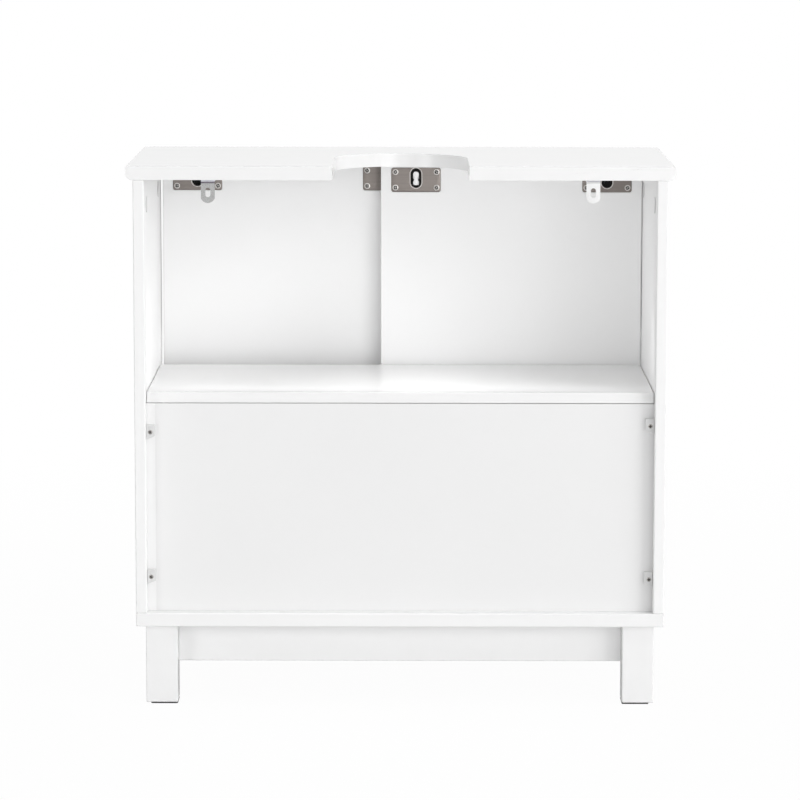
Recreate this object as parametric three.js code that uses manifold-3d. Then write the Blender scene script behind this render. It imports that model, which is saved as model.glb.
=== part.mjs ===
// A sink base cabinet: a white lacquered carcass on a leg frame, with a siphon cut-out in its top, one
// shelf, a half-height back panel and two sliding doors. Millimetres. X runs across the cabinet, the doors
// face -Y, the open back faces +Y and Z points up. The origin is on the floor, under the middle of the top.
// Left and right are as seen by someone who faces the doors.
import * as THREE from "three";
import { mergeVertices } from "three/addons/utils/BufferGeometryUtils.js";
import Module from "manifold-3d";

const wasm = await Module();
wasm.setup();

// ---------------------------------------------------------------- carcass
const CARCASS_WIDTH = 584; // across the outside of the side panels
const CARCASS_DEPTH = 294;
const SIDE_HEIGHT = 480;
const SIDE_THICKNESS = 12;
const BOTTOM_THICKNESS = 15;
const TOP_THICKNESS = 15;
const TOP_SIDE_OVERHANG = 8;
const TOP_FRONT_OVERHANG = 6;
const TOP_LOWER_RADIUS = 6.5; // the rounded-over lower edge of the top, at its sides and front
const TOP_UPPER_RADIUS = 1.5;
const SIPHON_CUT_WIDTH = 150;
const SIPHON_CUT_DEPTH = 195; // from the rear edge to the crown of the round end
const EDGE_BREAK = 0.8; // the small chamfer on the boards' edges
const SEAM = 0.05; // the hairline between pieces that are fixed face to face

// ---------------------------------------------------------------- shelf and back panel
const LOWER_BAY_HEIGHT = 233; // clear height under the shelf
const SHELF_THICKNESS = 12;
const SHELF_END_GAP = 0.6;
const SHELF_REAR_RECESS = 15;
const SHELF_DOOR_GAP = 3;
const BACK_THICKNESS = 3;
const BACK_RECESS = 15;
const BACK_SHELF_GAP = 0.5;
const GROOVE_DEPTH = 4; // of the groove in each side panel that holds the back panel
const GROOVE_REAR_SPACE = 1.6; // room behind the back panel for the feet of the clips
const FIT = 0.3; // clearance of a piece in the recess made for it
const PIN_RADIUS = 2.5;
const PIN_SEATED = 8; // length of a shelf pin in its hole
const PIN_FREE = 8; // length of a shelf pin under the shelf
const PIN_SLACK = 0.1;
const PIN_REAR_INSET = 50; // from the shelf's rear edge
const PIN_FRONT_INSET = 40; // from the shelf's front edge

// ---------------------------------------------------------------- back panel clips
const CLIP_WIDTH = 9.5;
const CLIP_LONG_SIDE = 16.5;
const CLIP_SHORT_SIDE = 12.5;
const CLIP_THICKNESS = 5;
const CLIP_FOOT_THICKNESS = 1;
const CLIP_HOLE_RADIUS = 1.6;
const CLIP_HOLE_INSET = 4.5; // from the side panel to the screw
const CLIP_UPPER_DROP_LEFT = 24.5; // from the shelf's underside to the middle of a clip
const CLIP_UPPER_DROP_RIGHT = 32;
const CLIP_LOWER_RISE_LEFT = 37; // from the cabinet floor to the middle of a clip
const CLIP_LOWER_RISE_RIGHT = 39;

// ---------------------------------------------------------------- leg frame
const LEG_SIZE = 35;
const LEG_LENGTH = 88;
const LEG_SIDE_INSET = 10;
const LEG_END_INSET = 12; // from the front and from the rear
const PAD_SIZE = 30;
const PAD_THICKNESS = 2;
const APRON_HEIGHT = 45;
const APRON_THICKNESS = 15;
const APRON_SETBACK = 20; // from the legs' outer faces

// ---------------------------------------------------------------- cam locks and wall brackets
const CAM_RADIUS = 7.5;
const CAM_DEPTH = 9;
const CAM_CAP_RADIUS = 9;
const CAM_CAP_THICKNESS = 0.7;
const CAM_DROP = 30; // from the side panel's upper edge
const CAM_REAR_INSET = 40;
const CAM_FRONT_INSET = 56;
const BRACKET_WIDTH = 15;
const BRACKET_DROP = 25;
const BRACKET_REACH = 24; // of the leg under the top
const BRACKET_THICKNESS = 1.8;
const BRACKET_BEND = 3; // outer radius of the bend
const BRACKET_END_RADIUS = 8.1; // of the arc at its lower end
const BRACKET_SETBACK = 0.5; // from the rear plane
const BRACKET_INSET = 70; // from a side panel to the middle of a bracket
const BRACKET_SLOT_WIDTH = 5.5;
const BRACKET_SLOT_HEIGHT = 10.5;
const BRACKET_SLOT_DROP = 13.5; // from the top's underside to the middle of the slot
const BRACKET_SCREW_RADIUS = 2;
const BRACKET_SCREW_LENGTH = 11;
const BRACKET_SCREW_REACH = 14; // from the bracket's rear face
const SCREW_HEAD_RADIUS = 3.8;
const SCREW_HEAD_HEIGHT = 2;

// ---------------------------------------------------------------- doors
const DOOR_THICKNESS = 15;
const DOOR_GAP = 7; // between the two doors
const DOOR_OVERLAP = 48;
const DOOR_FRONT_RECESS = 2; // of the outer door behind the carcass front
const DOOR_TOP_GAP = 2;
const DOOR_FLOOR_GAP = 4;
const INNER_DOOR_SIDE_GAP = 1;
const OUTER_DOOR_SIDE_GAP = 3;

// ---------------------------------------------------------------- top guides of the doors
const PLATE_WIDTH = 57;
const PLATE_HEIGHT = 28;
const PLATE_THICKNESS = 1.5;
const PLATE_CORNER_RADIUS = 2.5;
const PLATE_SIDE_MARGIN = 12; // from the door's upright edge
const PLATE_TOP_MARGIN = 4; // from the door's upper edge
const PLATE_SCREW_SPREAD = 47.5;
const PLATE_SCREW_RISE = 18; // between the upper and the lower pair of screws
const PLATE_HOLE_RADIUS = 1.8;
const PLATE_SINK_RADIUS = 3.7; // of the countersink, at the plate's face
const PILOT_RADIUS = 1.2;
const PILOT_DEPTH = 9;
const WINDOW_WIDTH = 12; // the stadium opening of a plate
const WINDOW_HEIGHT = 22;
const WINDOW_RISE = 2; // of the opening's middle over the plate's middle
const WINDOW_CHAMFER = 1.2; // along the opening's edge, at the plate's face
const RIM_WIDTH = 1.3; // of the raised rim on the housing, inside the plate's opening
const RIM_HEIGHT = 0.6;
const BUTTON_LOBE_RADIUS = 3.3; // a slider's figure-8 button: two lobes and a neck
const BUTTON_LOBE_SPREAD = 9.2;
const BUTTON_NECK_WIDTH = 4.2;
const BUTTON_RISE = 1.5; // of the button's middle over the plate's middle
const BUTTON_RECESS = 0.4; // of the button's face behind the housing's face
const HOUSING_WIDTH = 38;
const HOUSING_HEIGHT = 26;
const HOUSING_DEPTH = 9;
const HOUSING_WALL = 1.5;
const SLIDER_WIDTH = 9;
const SLIDER_THICKNESS = 4.5;
const SLIDER_NOSE_RADIUS = 3;
const SLIDER_ENGAGEMENT = 3; // how far a slider reaches into the top track
const SLIDER_TRAVEL = 3.5; // how far it can be pulled down
const SLIDER_PLAY = 0.25;
const SPRING_BORE_RADIUS = 1.5; // of the blind bore in a slider's foot, for its return spring
const SPRING_BORE_DEPTH = 8;
const SLIDER_FOOT_PLAY = 0.5; // left under the slider when it is pulled down

// ---------------------------------------------------------------- tracks
const TRACK_END_GAP = 0.5;
const TOP_TRACK_WALL = 2.5;
const TOP_TRACK_WEB = 1.5;
const TOP_TRACK_GROOVE_PLAY = 0.5; // between a slider and the groove's wall
const TOP_TRACK_GROOVE_SPARE = 1.5; // over the sliders' noses
const FLOOR_TRACK_WIDTH = 36;
const FLOOR_TRACK_BASE = 1;
const RIDGE_WIDTH = 2.2;
const RIDGE_HEIGHT = 2;

// ---------------------------------------------------------------- door rollers
const ROLLER_RADIUS = 9;
const ROLLER_TREAD_RADIUS = 7.5;
const ROLLER_WIDTH = 5;
const ROLLER_GROOVE_PLAY = 0.35; // between the ridge and the roller's flanges
const ROLLER_RIDE = 0.2; // running gap on the ridge
const ROLLER_SLOT_PLAY = 0.6;
const ROLLER_CHEEK_PLAY = 0.3;
const AXLE_RADIUS = 1.5;
const AXLE_PLAY = 0.1;
const ROLLER_BOX_LENGTH = 26;
const ROLLER_BOX_WIDTH = 9;
const ROLLER_BOX_HEIGHT = 19;
const ROLLER_INSET = 32; // from the door's upright edge

// ---------------------------------------------------------------- finger pulls
const PULL_RIM_RADIUS = 20;
const PULL_RIM_THICKNESS = 1;
const PULL_CUP_RADIUS = 17;
const PULL_WALL = 1;
const PULL_DEPTH = 10;
const PULL_INSET = 45; // from the door's outer upright edge
const PULL_HEIGHT = 240; // over the cabinet floor

// ---------------------------------------------------------------- levels and planes that follow
const LEG_FOOT = PAD_THICKNESS + SEAM;
const LEG_TOP = LEG_FOOT + LEG_LENGTH;
const BOTTOM_UNDERSIDE = LEG_TOP + SEAM;
const FLOOR_LEVEL = BOTTOM_UNDERSIDE + BOTTOM_THICKNESS;
const SIDE_FOOT = FLOOR_LEVEL + SEAM;
const SIDE_TOP = SIDE_FOOT + SIDE_HEIGHT;
const TOP_UNDERSIDE = SIDE_TOP + SEAM;
const SHELF_UNDERSIDE = FLOOR_LEVEL + LOWER_BAY_HEIGHT;

const REAR = (CARCASS_DEPTH + TOP_FRONT_OVERHANG) / 2;
const TOP_FRONT = -REAR;
const CARCASS_FRONT = REAR - CARCASS_DEPTH;
const OUTER_DOOR_BACK = CARCASS_FRONT + DOOR_FRONT_RECESS + DOOR_THICKNESS;
const INNER_DOOR_BACK = OUTER_DOOR_BACK + DOOR_GAP + DOOR_THICKNESS;
const SHELF_FRONT = INNER_DOOR_BACK + SHELF_DOOR_GAP;
const SHELF_REAR = REAR - SHELF_REAR_RECESS;
const BACK_FACE = REAR - BACK_RECESS;

const OUTER_X = CARCASS_WIDTH / 2;
const INNER_X = OUTER_X - SIDE_THICKNESS;
const TOP_X = OUTER_X + TOP_SIDE_OVERHANG;
const BAY_WIDTH = 2 * INNER_X;

const DOOR_FOOT = FLOOR_LEVEL + DOOR_FLOOR_GAP;
const DOOR_TOP = TOP_UNDERSIDE - DOOR_TOP_GAP;
const DOOR_WIDTH = (BAY_WIDTH - INNER_DOOR_SIDE_GAP - OUTER_DOOR_SIDE_GAP + DOOR_OVERLAP) / 2;
const GUIDE_HEIGHT = DOOR_TOP - PLATE_TOP_MARGIN - PLATE_HEIGHT / 2;
const HOUSING_FACE = -PLATE_THICKNESS - SEAM;
const SLIDER_BACK = HOUSING_FACE - HOUSING_WALL - SLIDER_PLAY;
const GUIDE_LINE = SLIDER_BACK - SLIDER_THICKNESS / 2; // middle of the sliders, from a door's back
const BUTTON_HALF_HEIGHT = BUTTON_LOBE_SPREAD / 2 + BUTTON_LOBE_RADIUS;
const BRACKET_X = INNER_X - BRACKET_INSET;
const TOP_TRACK_GROOVE = SLIDER_THICKNESS + 2 * TOP_TRACK_GROOVE_PLAY;
const TOP_TRACK_HEIGHT = SLIDER_ENGAGEMENT + TOP_TRACK_GROOVE_SPARE + TOP_TRACK_WEB;
const TOP_TRACK_REAR = INNER_DOOR_BACK + GUIDE_LINE + TOP_TRACK_GROOVE / 2 + TOP_TRACK_WALL;
const TOP_TRACK_FRONT = OUTER_DOOR_BACK + GUIDE_LINE - TOP_TRACK_GROOVE / 2 - TOP_TRACK_WALL;
const RIDGE_TOP = FLOOR_LEVEL + SEAM + FLOOR_TRACK_BASE + RIDGE_HEIGHT;
const ROLLER_CENTRE = RIDGE_TOP + ROLLER_RIDE + ROLLER_TREAD_RADIUS;
const DOOR_MIDDLE = -DOOR_THICKNESS / 2; // from a door's back

const CUT_STEPS = 24; // steps on the siphon cut-out's round end
const ARC_STEPS = 5; // steps on a small arc
const CORNER_STEPS = 3; // steps on a plate's small corner
const STADIUM_STEPS = 7; // steps on each round end of a slot
const PILOT_SIDES = 6;
const HOLE_SIDES = 8;
const ROUND_SIDES = 16;
const PULL_SIDES = 24;
const PAST = 1; // how far a cutting solid reaches past the face that it cuts

// ---------------------------------------------------------------- materials
const finish = (color, roughness, metalness) =>
  new THREE.MeshStandardMaterial({ color, roughness, metalness });
const lacquer = finish(0xf4f4f2, 0.25, 0);
const hardboard = finish(0xefefed, 0.5, 0);
const whitePlastic = finish(0xe6e6e4, 0.4, 0);
const nylon = finish(0xfafafa, 0.35, 0);
const blackPlastic = finish(0x1b1b1c, 0.4, 0);
const felt = finish(0x2a2a2a, 0.9, 0);
const plateSteel = finish(0x938c87, 0.35, 1);
const bracketSteel = finish(0xc4c4c6, 0.3, 1);
const chrome = finish(0xd8d8d8, 0.15, 1);
const camGrey = finish(0xdcdcda, 0.4, 0);

// ---------------------------------------------------------------- solids
// A manifold solid of a closed three.js geometry.
function solidOf(geometry) {
  const bare = geometry.clone();
  bare.deleteAttribute("normal");
  bare.deleteAttribute("uv");
  const merged = mergeVertices(bare, 1e-4);
  return new wasm.Manifold(
    new wasm.Mesh({
      numProp: 3,
      vertProperties: merged.attributes.position.array,
      triVerts: new Uint32Array(merged.index.array),
    }),
  );
}

// A three.js geometry of a manifold solid.
function geometryOf(solid) {
  const mesh = solid.getMesh();
  const indexed = new THREE.BufferGeometry();
  indexed.setAttribute("position", new THREE.BufferAttribute(mesh.vertProperties, 3));
  indexed.setIndex(new THREE.BufferAttribute(mesh.triVerts, 1));
  const faceted = indexed.toNonIndexed();
  faceted.computeVertexNormals();
  return faceted;
}

// The geometry with other geometries cut out of it, or joined to it.
function carve(geometry, ...tools) {
  return geometryOf(tools.reduce((solid, tool) => solid.subtract(solidOf(tool)), solidOf(geometry)));
}

function join(geometry, ...others) {
  return geometryOf(others.reduce((solid, other) => solid.add(solidOf(other)), solidOf(geometry)));
}

function common(geometry, other) {
  return geometryOf(solidOf(geometry).intersect(solidOf(other)));
}

// A box given by its lowest and highest X, Y and Z.
function block([x0, x1], [y0, y1], [z0, z1]) {
  const box = new THREE.BoxGeometry(x1 - x0, y1 - y0, z1 - z0);
  return box.translate((x0 + x1) / 2, (y0 + y1) / 2, (z0 + z1) / 2);
}

// A board centred on the origin, with its edges broken by a small chamfer.
function board(width, depth, height) {
  const x = width / 2;
  const y = depth / 2;
  const e = EDGE_BREAK;
  const plan = new THREE.Shape([
    new THREE.Vector2(x - e, -y),
    new THREE.Vector2(x, e - y),
    new THREE.Vector2(x, y - e),
    new THREE.Vector2(x - e, y),
    new THREE.Vector2(e - x, y),
    new THREE.Vector2(-x, y - e),
    new THREE.Vector2(-x, e - y),
    new THREE.Vector2(e - x, -y),
  ]);
  const extruded = new THREE.ExtrudeGeometry(plan, {
    depth: height - 2 * e,
    bevelThickness: e,
    bevelSize: e,
    bevelOffset: -e,
    bevelSegments: 1,
  });
  return extruded.translate(0, 0, e - height / 2);
}

// A flat shape drawn in X and Y, thickened along Z from 0.
function slab(shape, thickness, curveSegments = ARC_STEPS) {
  return new THREE.ExtrudeGeometry(shape, { depth: thickness, bevelEnabled: false, curveSegments });
}

// A shape drawn in X and Z as it is seen from behind a door, thickened towards -Y from y.
function upright(shape, thickness, y, curveSegments = ARC_STEPS) {
  return slab(shape, thickness, curveSegments).rotateX(Math.PI / 2).translate(0, y, 0);
}

// A profile drawn in Y and Z, thickened along X and centred on it.
function rail(shape, length) {
  const extruded = slab(shape, length);
  const turn = new THREE.Matrix4().makeBasis(
    new THREE.Vector3(0, 1, 0),
    new THREE.Vector3(0, 0, 1),
    new THREE.Vector3(1, 0, 0),
  );
  return extruded.applyMatrix4(turn).translate(-length / 2, 0, 0);
}

// A solid of revolution about Y, from a list of radii and heights.
function lathe(profile, sides) {
  return new THREE.LatheGeometry(
    profile.map(([radius, y]) => new THREE.Vector2(radius, y)),
    sides,
  );
}

// A cylinder along X, Y or Z, centred on the origin, or a cone if it is given a second radius.
function rod(radius, length, axis, sides = HOLE_SIDES, endRadius = radius) {
  const cylinder = new THREE.CylinderGeometry(endRadius, radius, length, sides);
  if (axis === "x") cylinder.rotateZ(-Math.PI / 2);
  if (axis === "z") cylinder.rotateX(Math.PI / 2);
  return cylinder;
}

const ascending = (a, b) => a - b;

function polygon(points) {
  return new THREE.Shape(points.map(([u, v]) => new THREE.Vector2(u, v)));
}

function roundedRectangle(width, height, radius) {
  const x = width / 2;
  const y = height / 2;
  const shape = new THREE.Shape();
  shape.moveTo(radius - x, -y);
  shape.lineTo(x - radius, -y);
  shape.absarc(x - radius, radius - y, radius, -Math.PI / 2, 0);
  shape.lineTo(x, y - radius);
  shape.absarc(x - radius, y - radius, radius, 0, Math.PI / 2);
  shape.lineTo(radius - x, y);
  shape.absarc(radius - x, y - radius, radius, Math.PI / 2, Math.PI);
  shape.lineTo(-x, radius - y);
  shape.absarc(radius - x, radius - y, radius, Math.PI, 1.5 * Math.PI);
  return shape;
}

// A stadium: a rectangle with half-round ends above and below.
function stadium(width, height) {
  const radius = width / 2;
  const y = height / 2 - radius;
  const shape = new THREE.Shape();
  shape.absarc(0, y, radius, 0, Math.PI);
  shape.absarc(0, -y, radius, Math.PI, 2 * Math.PI);
  return shape;
}

const root = new THREE.Group();

// Adds a named mesh to a group, at a place in that group.
function place(group, name, geometry, material, x = 0, y = 0, z = 0) {
  const mesh = new THREE.Mesh(geometry, material.clone());
  mesh.name = name;
  mesh.position.set(x, y, z);
  group.add(mesh);
  return mesh;
}

function groupAt(parent, x, y, z) {
  const group = new THREE.Group();
  group.position.set(x, y, z);
  parent.add(group);
  return group;
}

const SIDES = [
  ["left", -1],
  ["right", 1],
];

// ---------------------------------------------------------------- top panel
// The edge profile of the top, across its width: rounded below and eased above, on both sides.
function topProfileAcross() {
  const low = TOP_LOWER_RADIUS;
  const high = TOP_UPPER_RADIUS;
  const shape = new THREE.Shape();
  shape.moveTo(low - TOP_X, 0);
  shape.lineTo(TOP_X - low, 0);
  shape.absarc(TOP_X - low, low, low, -Math.PI / 2, 0);
  shape.lineTo(TOP_X, TOP_THICKNESS - high);
  shape.absarc(TOP_X - high, TOP_THICKNESS - high, high, 0, Math.PI / 2);
  shape.lineTo(high - TOP_X, TOP_THICKNESS);
  shape.absarc(high - TOP_X, TOP_THICKNESS - high, high, Math.PI / 2, Math.PI);
  shape.lineTo(-TOP_X, low);
  shape.absarc(low - TOP_X, low, low, Math.PI, 1.5 * Math.PI);
  return shape;
}

// The same profile from the rear edge, which is square, to the front.
function topProfileAlong() {
  const low = TOP_LOWER_RADIUS;
  const high = TOP_UPPER_RADIUS;
  const shape = new THREE.Shape();
  shape.moveTo(REAR, 0);
  shape.lineTo(REAR, TOP_THICKNESS);
  shape.lineTo(TOP_FRONT + high, TOP_THICKNESS);
  shape.absarc(TOP_FRONT + high, TOP_THICKNESS - high, high, Math.PI / 2, Math.PI);
  shape.lineTo(TOP_FRONT, low);
  shape.absarc(TOP_FRONT + low, low, low, Math.PI, 1.5 * Math.PI);
  return shape;
}

// The opening for the siphon: straight sides from the rear edge and a half-round end.
function siphonCut() {
  const radius = SIPHON_CUT_WIDTH / 2;
  const centre = REAR - SIPHON_CUT_DEPTH + radius;
  const shape = new THREE.Shape();
  shape.moveTo(radius, REAR + PAST);
  shape.lineTo(-radius, REAR + PAST);
  shape.lineTo(-radius, centre);
  shape.absarc(0, centre, radius, Math.PI, 2 * Math.PI);
  return slab(shape, TOP_THICKNESS + 2 * PAST, CUT_STEPS).translate(0, 0, -PAST);
}

function topPanelGeometry() {
  const depth = REAR - TOP_FRONT;
  const across = upright(topProfileAcross(), depth + 2 * PAST, REAR + PAST);
  const along = rail(topProfileAlong(), 2 * (TOP_X + PAST));
  const trackBed = block(
    [-INNER_X, INNER_X],
    [TOP_TRACK_FRONT - FIT, TOP_TRACK_REAR + FIT],
    [-PAST, TOP_TRACK_HEIGHT + FIT],
  );
  const pilots = SIDES.map(([, side]) => {
    const depth = BRACKET_SCREW_LENGTH - BRACKET_THICKNESS + FIT;
    const y = REAR - BRACKET_SETBACK - BRACKET_SCREW_REACH;
    const pilot = rod(BRACKET_SCREW_RADIUS + SEAM, depth + PAST, "z");
    return pilot.translate(side * BRACKET_X, y, (depth - PAST) / 2);
  });
  return carve(common(across, along), siphonCut(), trackBed, ...pilots);
}

function addTop() {
  place(root, "top_panel", topPanelGeometry(), lacquer, 0, 0, TOP_UNDERSIDE);
}

// ---------------------------------------------------------------- side panels, bottom panel
const CAM_PLACES = [
  ["rear", REAR - CAM_REAR_INSET],
  ["front", CARCASS_FRONT + CAM_FRONT_INSET],
];
const PIN_PLACES = [
  ["rear", SHELF_REAR - PIN_REAR_INSET],
  ["front", SHELF_FRONT + PIN_FRONT_INSET],
];
const PIN_CENTRE = SHELF_UNDERSIDE - PIN_SLACK - PIN_RADIUS;
const CAM_HEIGHT = SIDE_TOP - CAM_DROP;

// A round hole that goes into a side panel's inner face.
function sideHole(side, radius, depth, y, z, sides) {
  const middle = side * (INNER_X + (depth - PAST) / 2);
  return rod(radius, depth + PAST, "x", sides).translate(middle, y, z);
}

// Cuts of one side panel, in the cabinet's frame: the back panel's groove, pin holes and cam pockets.
function sideCuts(side) {
  const groove = block(
    [side * (INNER_X - PAST), side * (INNER_X + GROOVE_DEPTH)].sort(ascending),
    [BACK_FACE - BACK_THICKNESS - FIT, BACK_FACE + GROOVE_REAR_SPACE],
    [SIDE_FOOT - PAST, SHELF_UNDERSIDE],
  );
  const pins = PIN_PLACES.map(([, y]) =>
    sideHole(side, PIN_RADIUS + PIN_SLACK, PIN_SEATED + FIT, y, PIN_CENTRE, HOLE_SIDES),
  );
  const cams = CAM_PLACES.map(([, y]) =>
    sideHole(side, CAM_RADIUS + FIT, CAM_DEPTH + FIT, y, CAM_HEIGHT, ROUND_SIDES),
  );
  return [groove, ...pins, ...cams];
}

function addSide(name, side) {
  const x = side * (INNER_X + SIDE_THICKNESS / 2);
  const y = REAR - CARCASS_DEPTH / 2;
  const z = SIDE_FOOT + SIDE_HEIGHT / 2;
  const cuts = sideCuts(side).map((cut) => cut.translate(-x, -y, -z));
  const panel = carve(board(SIDE_THICKNESS, CARCASS_DEPTH, SIDE_HEIGHT), ...cuts);
  place(root, `side_panel_${name}`, panel, lacquer, x, y, z);
}

function addBottom() {
  const z = BOTTOM_UNDERSIDE + BOTTOM_THICKNESS / 2;
  const panel = board(CARCASS_WIDTH, CARCASS_DEPTH, BOTTOM_THICKNESS);
  place(root, "bottom_panel", panel, lacquer, 0, REAR - CARCASS_DEPTH / 2, z);
}

// A cam lock sits in the side panel's inner face, under a thin round cap.
function camGeometry(side) {
  const cap = rod(CAM_CAP_RADIUS, CAM_CAP_THICKNESS, "x", ROUND_SIDES);
  const length = CAM_DEPTH + CAM_CAP_THICKNESS;
  const body = rod(CAM_RADIUS, length, "x", ROUND_SIDES);
  cap.translate((-side * CAM_CAP_THICKNESS) / 2, 0, 0);
  body.translate(side * (length / 2 - CAM_CAP_THICKNESS), 0, 0);
  return join(body, cap);
}

function addCams(name, side) {
  for (const [end, y] of CAM_PLACES) {
    const x = side * (INNER_X - SEAM);
    place(root, `cam_lock_${end}_${name}`, camGeometry(side), camGrey, x, y, CAM_HEIGHT);
  }
}

// ---------------------------------------------------------------- shelf and its pins
function addShelf() {
  const depth = SHELF_REAR - SHELF_FRONT;
  const width = BAY_WIDTH - 2 * SHELF_END_GAP;
  const z = SHELF_UNDERSIDE + SHELF_THICKNESS / 2;
  place(root, "shelf", board(width, depth, SHELF_THICKNESS), lacquer, 0, SHELF_FRONT + depth / 2, z);
}

function addPins(name, side) {
  const length = PIN_SEATED + PIN_FREE;
  const x = side * (INNER_X + PIN_SEATED - length / 2);
  for (const [end, y] of PIN_PLACES) {
    const pin = rod(PIN_RADIUS, length, "x");
    place(root, `shelf_pin_${end}_${name}`, pin, bracketSteel, x, y, PIN_CENTRE);
  }
}

// ---------------------------------------------------------------- back panel and its clips
function addBackPanel() {
  const width = BAY_WIDTH + 2 * (GROOVE_DEPTH - FIT);
  const height = LOWER_BAY_HEIGHT - SEAM - BACK_SHELF_GAP;
  const z = FLOOR_LEVEL + SEAM + height / 2;
  const panel = new THREE.BoxGeometry(width, BACK_THICKNESS, height);
  place(root, "lower_back_panel", panel, hardboard, 0, BACK_FACE - BACK_THICKNESS / 2, z);
}

// A wedge-shaped clip, with a foot in the groove behind the back panel. Its frame has the side panel's
// inner face at x = 0 and the back panel's face at y = 0.
function clipGeometry(side) {
  const half = CLIP_LONG_SIDE / 2;
  const outline = polygon([
    [-side * FIT, -half],
    [-side * (FIT + CLIP_WIDTH), CLIP_LONG_SIDE - CLIP_SHORT_SIDE - half],
    [-side * (FIT + CLIP_WIDTH), half],
    [-side * FIT, half],
  ]);
  const body = upright(outline, CLIP_THICKNESS, CLIP_THICKNESS + SEAM);
  const foot = block(
    [-side * (FIT + PAST), side * (GROOVE_DEPTH - FIT)].sort(ascending),
    [SEAM, SEAM + CLIP_FOOT_THICKNESS],
    [-CLIP_SHORT_SIDE / 2, CLIP_SHORT_SIDE / 2],
  );
  const hole = rod(CLIP_HOLE_RADIUS, 3 * CLIP_THICKNESS, "y");
  return carve(join(body, foot), hole.translate(-side * CLIP_HOLE_INSET, 0, 0));
}

function addClips() {
  const upper = SHELF_UNDERSIDE;
  const places = [
    ["clip_upper_left", -1, upper - CLIP_UPPER_DROP_LEFT],
    ["clip_upper_right", 1, upper - CLIP_UPPER_DROP_RIGHT],
    ["clip_lower_left", -1, FLOOR_LEVEL + CLIP_LOWER_RISE_LEFT],
    ["clip_lower_right", 1, FLOOR_LEVEL + CLIP_LOWER_RISE_RIGHT],
  ];
  for (const [name, side, z] of places) {
    place(root, `back_${name}`, clipGeometry(side), whitePlastic, side * INNER_X, BACK_FACE, z);
  }
}

// ---------------------------------------------------------------- leg frame
function addLegFrame() {
  const legX = OUTER_X - LEG_SIDE_INSET - LEG_SIZE / 2;
  const ends = [
    ["front", CARCASS_FRONT + LEG_END_INSET + LEG_SIZE / 2, -1],
    ["rear", REAR - LEG_END_INSET - LEG_SIZE / 2, 1],
  ];
  const inward = (LEG_SIZE - PAD_SIZE) / 2;
  const apronShift = LEG_SIZE / 2 - APRON_SETBACK - APRON_THICKNESS / 2;
  const apronZ = LEG_TOP - APRON_HEIGHT / 2;
  for (const [end, y, out] of ends) {
    for (const [name, side] of SIDES) {
      const leg = board(LEG_SIZE, LEG_SIZE, LEG_LENGTH);
      place(root, `leg_${end}_${name}`, leg, lacquer, side * legX, y, LEG_FOOT + LEG_LENGTH / 2);
      const pad = board(PAD_SIZE, PAD_SIZE, PAD_THICKNESS);
      place(root, `leg_pad_${end}_${name}`, pad, felt, side * (legX - inward), y, PAD_THICKNESS / 2);
    }
    const length = 2 * legX - LEG_SIZE - 2 * SEAM;
    const apron = board(length, APRON_THICKNESS, APRON_HEIGHT);
    place(root, `apron_${end}`, apron, lacquer, 0, y + out * apronShift, apronZ);
  }
  const between = ends[1][1] - ends[0][1];
  for (const [name, side] of SIDES) {
    const apron = board(APRON_THICKNESS, between - LEG_SIZE - 2 * SEAM, APRON_HEIGHT);
    const y = (ends[0][1] + ends[1][1]) / 2;
    place(root, `apron_${name}`, apron, lacquer, side * (legX + apronShift), y, apronZ);
  }
}

// ---------------------------------------------------------------- wall brackets
// A bracket's frame has the top's underside at z = 0 and the bracket's rear face at y = 0.
// Its outline from behind: straight sides and an arc below.
function bracketOutline() {
  const x = BRACKET_WIDTH / 2;
  const centre = BRACKET_END_RADIUS - BRACKET_DROP;
  const spread = Math.asin(x / BRACKET_END_RADIUS);
  const shape = new THREE.Shape();
  shape.moveTo(x, PAST);
  shape.lineTo(-x, PAST);
  shape.absarc(0, centre, BRACKET_END_RADIUS, -Math.PI / 2 - spread, spread - Math.PI / 2);
  return shape;
}

function bracketGeometry() {
  const t = BRACKET_THICKNESS;
  const bend = BRACKET_BEND;
  const profile = new THREE.Shape();
  profile.moveTo(0, -BRACKET_DROP);
  profile.lineTo(0, -bend);
  profile.absarc(-bend, -bend, bend, 0, Math.PI / 2);
  profile.lineTo(-BRACKET_REACH, 0);
  profile.lineTo(-BRACKET_REACH, -t);
  profile.lineTo(-bend, -t);
  profile.absarc(-bend, -bend, bend - t, Math.PI / 2, 0, true);
  profile.lineTo(-t, -BRACKET_DROP);
  const strip = rail(profile, BRACKET_WIDTH);
  const hanging = upright(bracketOutline(), BRACKET_REACH + 2 * PAST, PAST, STADIUM_STEPS);
  const opening = stadium(BRACKET_SLOT_WIDTH, BRACKET_SLOT_HEIGHT);
  const slot = upright(opening, 4 * t, 2 * t, STADIUM_STEPS);
  const hole = rod(BRACKET_SCREW_RADIUS + FIT, 4 * t, "z");
  hole.translate(0, -BRACKET_SCREW_REACH, 0);
  return carve(common(strip, hanging), slot.translate(0, 0, -BRACKET_SLOT_DROP), hole);
}

// A pan-head screw that points up, with its head's seat at z = 0.
function bracketScrewGeometry() {
  const edge = SCREW_HEAD_HEIGHT / 2;
  const profile = [
    [0, -SCREW_HEAD_HEIGHT],
    [SCREW_HEAD_RADIUS - edge, -SCREW_HEAD_HEIGHT],
    [SCREW_HEAD_RADIUS, -edge],
    [SCREW_HEAD_RADIUS, 0],
    [BRACKET_SCREW_RADIUS, 0],
    [BRACKET_SCREW_RADIUS, BRACKET_SCREW_LENGTH - BRACKET_SCREW_RADIUS],
    [0, BRACKET_SCREW_LENGTH],
  ];
  return lathe(profile, HOLE_SIDES).rotateX(Math.PI / 2);
}

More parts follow.
